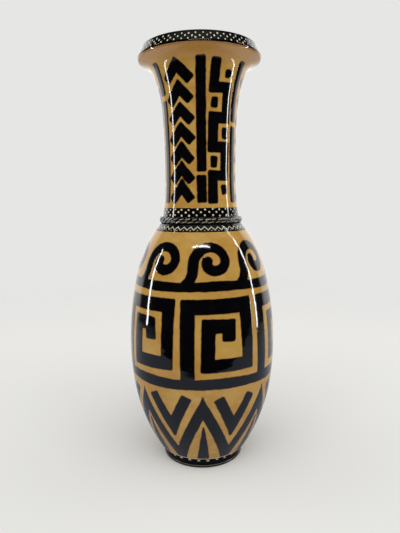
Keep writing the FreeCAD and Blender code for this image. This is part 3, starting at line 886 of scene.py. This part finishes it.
def bare_clay(name):
    """Unglazed clay: warm, dull, with grog and fine turning marks."""
    finish = Finish(bpy.data.materials.new(name))
    spot, (x, y, _) = finish.place()
    radius = (x * x + y * y).root()
    grog = finish.noise(spot, 1.6, 3.0, 0.65)
    marks = (radius * 5.2 + finish.noise(spot, 12.0) * 3.0).sine()
    colour = finish.mix(grog.ramp(0.4, 0.7), CLAY, CLAY_DARK)
    return finish.finish(colour, 0.78 + grog * 0.15, grog * 0.12 + marks * 0.02, CLAY_IOR)


# Sections

INNER_FINISHES = [dark_glaze("inner_glaze"), bare_clay("bare_clay")]


def foot():
    """The ring foot: base bead, turned line, wall, top and bore."""
    bore, wall, out = FOOT_BORE, FOOT_WALL, FOOT_HIGH[0]
    groove = (wall - FOOT_LINE_DEPTH, (BEAD_HEIGHT + FOOT_LINE_TOP) / 2.0)
    runs = [
        (line((bore, 0.0), (out, 0.0)), PLAIN, 1.6, BARE),
        (line((out, 0.0), (out, BEAD_EDGE)), 0.6, 1.4, PAINT),
        (line((out, BEAD_EDGE), (wall, BEAD_HEIGHT)), HAIR, 0.3, PAINT),
        (line((wall, BEAD_HEIGHT), groove), HAIR, 0.2, PAINT),
        (line(groove, (wall, FOOT_LINE_TOP)), HAIR, 0.2, PAINT),
        (line((wall, FOOT_LINE_TOP), (wall, FOOT_TOP)), 1.2, 0.3, PAINT),
        *straight_runs(BARE, (wall, FOOT_TOP), (bore, FOOT_TOP), (bore, 0.0)),
    ]
    return turned("glazed_foot", runs, 288, [foot_glaze("foot_glaze")] + INNER_FINISHES)


def lower_body():
    """The bowl of the body with its floor, and the tongue of the belly seam."""
    boss = LOWER_LOW[2]
    floor = boss + FLOOR_THICKNESS
    inner_bend = moved_on_spoke(LOWER_TOP_CENTRE, LOWER_BEND, -BODY_WALL)
    inner_reach = reach_to(LOWER_CENTRE, LOWER_BEND) - BODY_WALL
    inner_floor = on_arc_at(LOWER_CENTRE, inner_reach, floor, 1)
    runs = [
        (line((0.0, boss), (FOOT_BORE, boss)), COARSE, 0.0, BARE),
        (line((FOOT_BORE, boss), (FOOT_BORE, FOOT_TOP)), PLAIN, 0.0, BARE),
        (line((FOOT_BORE, FOOT_TOP), BODY_BASE), PLAIN, 0.0, PAINT),
        (arc(BODY_BASE, LOWER_BEND, LOWER_CENTRE), FINE, SOFT_EDGE, PAINT),
        (arc(LOWER_BEND, BELLY, LOWER_TOP_CENTRE), FINE, 0.0, PAINT),
        *straight_runs(BARE, BELLY, (TONGUE_OUT, SEAM), (TONGUE_OUT, TONGUE_TOP)),
        (line((TONGUE_OUT, TONGUE_TOP), (TONGUE_IN, TONGUE_TOP)), PLAIN, CRISP_EDGE, INNER),
        (line((TONGUE_IN, TONGUE_TOP), (TONGUE_IN, SEAM)), PLAIN, 0.0, INNER),
        (arc((TONGUE_IN, SEAM), inner_bend, LOWER_TOP_CENTRE), COARSE, 0.0, INNER),
        (arc(inner_bend, inner_floor, LOWER_CENTRE), COARSE, 0.0, INNER),
        (line(inner_floor, (0.0, floor)), COARSE, FLOOR_ROUND, INNER),
    ]
    finishes = [painted("painted_body_glaze", foot_line, EDGE_PALE_AND_HIGHLIGHT)] + INNER_FINISHES
    return paint(turned("lower_body_painted", runs, 432, finishes, closed=False))


def upper_body():
    """The shoulder, from the belly seam up to the collar, with the socket of the neck."""
    rim = NECK_LOW[2]
    start = on_arc_at(UPPER_CENTRE, reach_to(UPPER_CENTRE, BELLY) - BODY_WALL, TONGUE_TOP, 1)
    inner_bend = moved_on_spoke(UPPER_CENTRE, UPPER_BEND, -BODY_WALL)
    inner_reach = reach_to(SHOULDER_CENTRE, UPPER_BEND) - BODY_WALL
    inner_top = on_arc_at(SHOULDER_CENTRE, inner_reach, rim - SOCKET_SLOPE, 1)
    runs = [
        (line((TONGUE_OUT, SEAM), BELLY), PLAIN, 0.0, BARE),
        (arc(BELLY, UPPER_BEND, UPPER_CENTRE), FINE, 0.0, PAINT),
        (arc(UPPER_BEND, SHOULDER, SHOULDER_CENTRE), FINE, 0.0, PAINT),
        (line(SHOULDER, (SPIGOT, COLLAR)), PLAIN, CRISP_EDGE, PAINT),
        (line((SPIGOT, COLLAR), (SPIGOT, rim)), PLAIN, 0.0, BARE),
        (line((SPIGOT, rim), inner_top), PLAIN, 0.0, INNER),
        (arc(inner_top, inner_bend, SHOULDER_CENTRE), COARSE, 1.5, INNER),
        (arc(inner_bend, start, UPPER_CENTRE), COARSE, 0.0, INNER),
        *straight_runs(BARE, start, (TONGUE_OUT, TONGUE_TOP), (TONGUE_OUT, SEAM)),
    ]
    finishes = [painted("painted_shoulder_glaze", zigzag_border)] + INNER_FINISHES
    return paint(turned("upper_body_painted", runs, 432, finishes))


def neck():
    """The waisted neck, with its spigot below and the tongue of the mouth seam above."""
    spigot_low = NECK_LOW[2]
    inner_waist = (WAIST[0] - NECK_WALL, WAIST[1])
    inner_bend = moved_on_spoke(NECK_MID_CENTRE, NECK_BEND, NECK_WALL)
    reach = reach_to(NECK_LOW_CENTRE, WAIST) + NECK_WALL
    bore_top = (SPIGOT_BORE, WAIST[1] - math.sqrt(reach ** 2 - (SPIGOT_BORE - NECK_LOW_CENTRE[0]) ** 2))
    runs = [
        (line((SPIGOT_BORE, spigot_low), (SPIGOT, spigot_low)), PLAIN, 0.0, INNER),
        *straight_runs(BARE, (SPIGOT, spigot_low), (SPIGOT, COLLAR), (NECK_BASE[0], COLLAR)),
        (line((NECK_BASE[0], COLLAR), NECK_BASE), PLAIN, 0.0, PAINT),
        (arc(NECK_BASE, WAIST, NECK_LOW_CENTRE), FINE, 0.0, PAINT),
        (arc(WAIST, NECK_BEND, NECK_MID_CENTRE), FINE, 0.0, PAINT),
        (arc(NECK_BEND, NECK_TOP, NECK_TOP_CENTRE), FINE, 0.0, PAINT),
        *straight_runs(BARE, *MOUTH_SEAM),
        (arc(INNER_NECK_TOP, inner_bend, NECK_TOP_CENTRE), COARSE, 0.0, INNER),
        (arc(inner_bend, inner_waist, NECK_MID_CENTRE), COARSE, 0.0, INNER),
        (arc(inner_waist, bore_top, NECK_LOW_CENTRE), COARSE, 0.0, INNER),
        (line(bore_top, (SPIGOT_BORE, spigot_low)), COARSE, 0.0, INNER),
    ]
    finishes = [painted("painted_neck_glaze", dotted_border)] + INNER_FINISHES
    return paint(turned("neck_painted", runs, 320, finishes))


def mouth():
    """The flaring mouth: underside, bevelled lip, crown and the bowl inside it."""
    bowl_centre = next_centre(NECK_TOP_CENTRE, INNER_NECK_TOP, BOWL)
    brim_centre = next_centre(bowl_centre, BOWL, BRIM)
    runs = [
        (arc(NECK_TOP, FLARE_END, FLARE_CENTRE), 1.2, 0.0, PAINT),
        (line(FLARE_END, LIP_UNDER), 1.2, 0.0, PAINT),
        (line(LIP_UNDER, LIP_EDGE), 0.6, 0.8, PAINT),
        (line(LIP_EDGE, BEVEL_TOP), 1.0, 1.2, PAINT),
        (arc(BEVEL_TOP, CROWN, crown_centre(CROWN, BEVEL_TOP)), 0.5, 0.9, PAINT),
        (arc(CROWN, BRIM, crown_centre(CROWN, BRIM)), 0.5, 0.0, PAINT),
        (arc(BRIM, BOWL, brim_centre), 2.0, 0.6, INNER),
        (arc(BOWL, INNER_NECK_TOP, bowl_centre), PLAIN, 0.0, INNER),
        *straight_runs(BARE, *MOUTH_SEAM[::-1]),
    ]
    return paint(turned("flaring_mouth", runs, 384, [lip_glaze("lip_glaze")] + INNER_FINISHES))


def twisted_cordon():
    """A half-round roll of clay cut by slanting grooves. Its front is an arc from the shoulder to the top
    face. Across a strand the front falls back by depth - d^2 / (2 * tool radius), where d is the distance
    to the nearest groove line, as far as that is more than nothing. The groove lines climb at the lay."""
    strands, lay, first_strand = 40, math.radians(28.0), math.radians(3.0)
    seat, top = NECK_BASE[0], CORDON_HIGH[2]
    flat, bulge = seat + 1.7, 2.6
    groove_depth, tool_radius, behind_flat, fade = 0.9, 2.4, 0.7, 1.2
    half = (top - COLLAR) / 2.0
    centre = flat + bulge - (bulge ** 2 + half ** 2) / (2.0 * bulge)
    front = arc((flat, COLLAR), (flat, top), (centre, COLLAR + half))
    runs = [
        (line((seat, COLLAR), (flat, COLLAR)), PLAIN, 0.0, BARE),
        (front, 0.42, 0.0, PAINT),
        (line((flat, top), (seat, top)), 0.6, 0.25, PAINT),
        (line((seat, top), (seat, COLLAR)), PLAIN, 0.0, BARE),
    ]
    piece = turned("twisted_cordon", runs, strands * 16, [cordon_glaze("cordon_glaze")] + INNER_FINISHES)
    x, y, z = coordinates(piece)
    radius = np.hypot(x, y)
    crown = flat + bulge
    pitch = FULL_TURN * crown / strands
    across = np.arctan2(x, -y) * crown - first_strand * crown
    shifted = across - (z - COLLAR - half) / math.tan(lay)
    gap = (shifted + pitch / 2.0) % pitch - pitch / 2.0
    groove = np.maximum(groove_depth - (gap * math.sin(lay)) ** 2 / (2.0 * tool_radius), 0.0)
    share = np.clip((radius - flat + behind_flat) / fade, 0.0, 1.0)
    drawn = radius - groove * share * share * (3.0 - 2.0 * share)
    fresh = np.c_[x * drawn / radius, y * drawn / radius, z] * MM
    piece.data.vertices.foreach_set("co", fresh.ravel())
    piece.data.update()
    return piece


for piece, node, slot_name in (
    (foot(), "foot_ring", "black_glaze"),
    (lower_body(), "lower_body", "ochre_glaze"),
    (upper_body(), "upper_body", "ochre_glaze"),
    (twisted_cordon(), "rope_cordon", "black_glaze"),
    (neck(), "neck", "ochre_glaze"),
    (mouth(), "mouth_lip", "ochre_glaze"),
):
    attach(piece, "root")
    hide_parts(node)


# Room

# The floor's radius and the camera's place are in metres, the other lengths in millimetres.
BACKDROP = rgb(230, 230, 229)
FLOOR_PALE = rgb(240, 239, 236)
FLOOR_FRONT_SHADE = rgb(225, 225, 222)
FLOOR_SHEEN = rgb(160, 168, 181)
FLOOR_RADIUS = 4.0
FLOOR_FADE = (400.0, 1600.0)
TABLE_EDGE = -340.0
EDGE_SOFT = 12.0
EYE = (-0.0016, -0.572, 0.3244)
EYE_TILT = 90.0 - 8.19
EYE_ROLL = -0.57
EYE_LENS = 31.0
EYE_SENSOR = 36.0


def room():
    """The world: a pale backdrop to the camera, soft light that is stronger from the sides, and for
    reflections a dim room in front of the vase, bright behind it and faintly bright overhead."""
    world = bpy.data.worlds.new("room")
    bpy.context.scene.world = world
    finish = Finish(world)
    seen = finish.out("ShaderNodeLightPath", output="Is Camera Ray")
    glossy = finish.out("ShaderNodeLightPath", output="Is Glossy Ray")
    x, y, z = finish.parts(finish.out("ShaderNodeTexCoord", output="Generated"))
    behind = y.ramp(0.42, 0.56)
    front = 0.006 + y.ramp(-0.4, 0.42) * 0.03
    ceiling = z.ramp(0.78, 0.94) * 0.3
    mirrored = front + behind * z.ramp(-0.3, 0.05, 0.6, 1.3) + ceiling
    soft_light = 0.42 + x * x * 1.3
    level = glossy * mirrored + (1.0 - glossy) * soft_light
    colour = finish.mix(seen, (1.0, 1.0, 1.0, 1.0), BACKDROP)
    strength = seen + (1.0 - seen) * level
    shader = finish.out("ShaderNodeBackground", {"Color": colour, "Strength": strength})
    finish.add("ShaderNodeOutputWorld", {0: shader})


def floor():
    """A round pale floor, a little greyer near the camera by painted shade, that fades into the backdrop far
    out. In reflections it is a bluish table that ends short of the camera, and pale behind the vase."""
    columns = 96
    turns = np.arange(columns) * FULL_TURN / columns
    rings = np.array([0.0, 0.5, 1.0, 2.0, FLOOR_RADIUS])[:, None]
    flat = np.zeros((len(rings), columns))
    places = np.stack([rings * np.cos(turns), rings * np.sin(turns), flat], -1).reshape(-1, 3)
    faces = grid_faces(len(rings), columns, False)[:, ::-1]
    mesh = bpy.data.meshes.new("floor")
    mesh.from_pydata(places.tolist(), [], faces.tolist())
    mesh.update()
    ground = bpy.data.objects.new("floor", mesh)
    bpy.context.scene.collection.objects.link(ground)
    finish = Finish(bpy.data.materials.new("pale_floor"))
    _, (x, y, _) = finish.place()
    pale, near, sheen, dark = [
        finish.out("ShaderNodeBsdfDiffuse", {"Color": colour})
        for colour in (FLOOR_PALE, FLOOR_FRONT_SHADE, FLOOR_SHEEN, BLACK)
    ]

    def blend(share, first, second):
        return finish.out("ShaderNodeMixShader", {0: share, 1: first, 2: second})

    # Painted shade: the floor turns greyer towards the camera and paler behind the vase.
    lit = blend(y.ramp(-300.0, 600.0), near, pale)
    table = blend(y.ramp(0.0, 400.0), sheen, pale)
    edge = y.below(TABLE_EDGE, EDGE_SOFT)
    glossy = finish.out("ShaderNodeLightPath", output="Is Glossy Ray")
    top = blend(glossy, lit, blend(edge, table, dark))
    fade = (x * x + y * y).root().ramp(*FLOOR_FADE)
    shader = blend(fade, top, finish.out("ShaderNodeBsdfTransparent"))
    finish.add("ShaderNodeOutputMaterial", {0: shader})
    mesh.materials.append(finish.owner)


def lamp(name, place, aim, size, power, in_gloss, in_light):
    """A flat lamp that faces a point, seen in reflections, in the light it throws, or in both."""
    light = bpy.data.lights.new(name, "AREA")
    light.shape = "RECTANGLE"
    light.size, light.size_y = size
    light.energy = power
    lamp_object = bpy.data.objects.new(name, light)
    away = np.subtract(place, aim)
    away = away / np.linalg.norm(away)
    side = np.cross([0.0, 0.0, 1.0], away)
    side = side / np.linalg.norm(side)
    turn = Matrix(np.c_[side, np.cross(away, side), away].tolist()).to_4x4()
    lamp_object.matrix_world = Matrix.Translation(place) @ turn
    lamp_object.visible_glossy = in_gloss
    lamp_object.visible_diffuse = in_light
    lamp_object.visible_camera = False
    bpy.context.scene.collection.objects.link(lamp_object)


def camera():
    """The camera at the photograph's place, a little tilted down and a little turned on its axis."""
    eye = bpy.data.cameras.new("camera")
    eye.sensor_fit = "VERTICAL"
    eye.sensor_height = EYE_SENSOR
    eye.lens = EYE_LENS
    eye.clip_start = 0.01
    holder = bpy.data.objects.new("camera", eye)
    holder.matrix_world = (
        Matrix.Translation(EYE)
        @ Matrix.Rotation(math.radians(EYE_TILT), 4, "X")
        @ Matrix.Rotation(math.radians(EYE_ROLL), 4, "Z")
    )
    bpy.context.scene.collection.objects.link(holder)
    bpy.context.scene.camera = holder


room()
floor()
for name, place, power in (("key_light", (-0.55, -1.3, 1.8), 12.2), ("fill_light", (0.75, -1.2, 1.7), 12.2)):
    lamp(name, place, (0.0, 0.0, 0.2), (1.6, 1.6), power, False, True)
for name, side, height, size, power in (
    ("left_strip", -0.5, 0.325, (0.022, 0.41), 0.7),
    ("left_strip_top", -0.5, 0.86, (0.01, 0.16), 0.1),
    ("right_strip", 0.5, 0.38, (0.022, 0.56), 0.9),
    ("right_strip_top", 0.5, 0.84, (0.012, 0.34), 0.3),
):
    lamp(name, (side, -0.02, height), (0.0, 0.0, height), size, power, True, False)
lamp("high_strip", (0.0, -0.735, 1.15), (0.0, -0.065, 0.275), (0.6, 0.05), 2.6, True, False)
camera()
bpy.context.scene.view_settings.view_transform = "Standard"
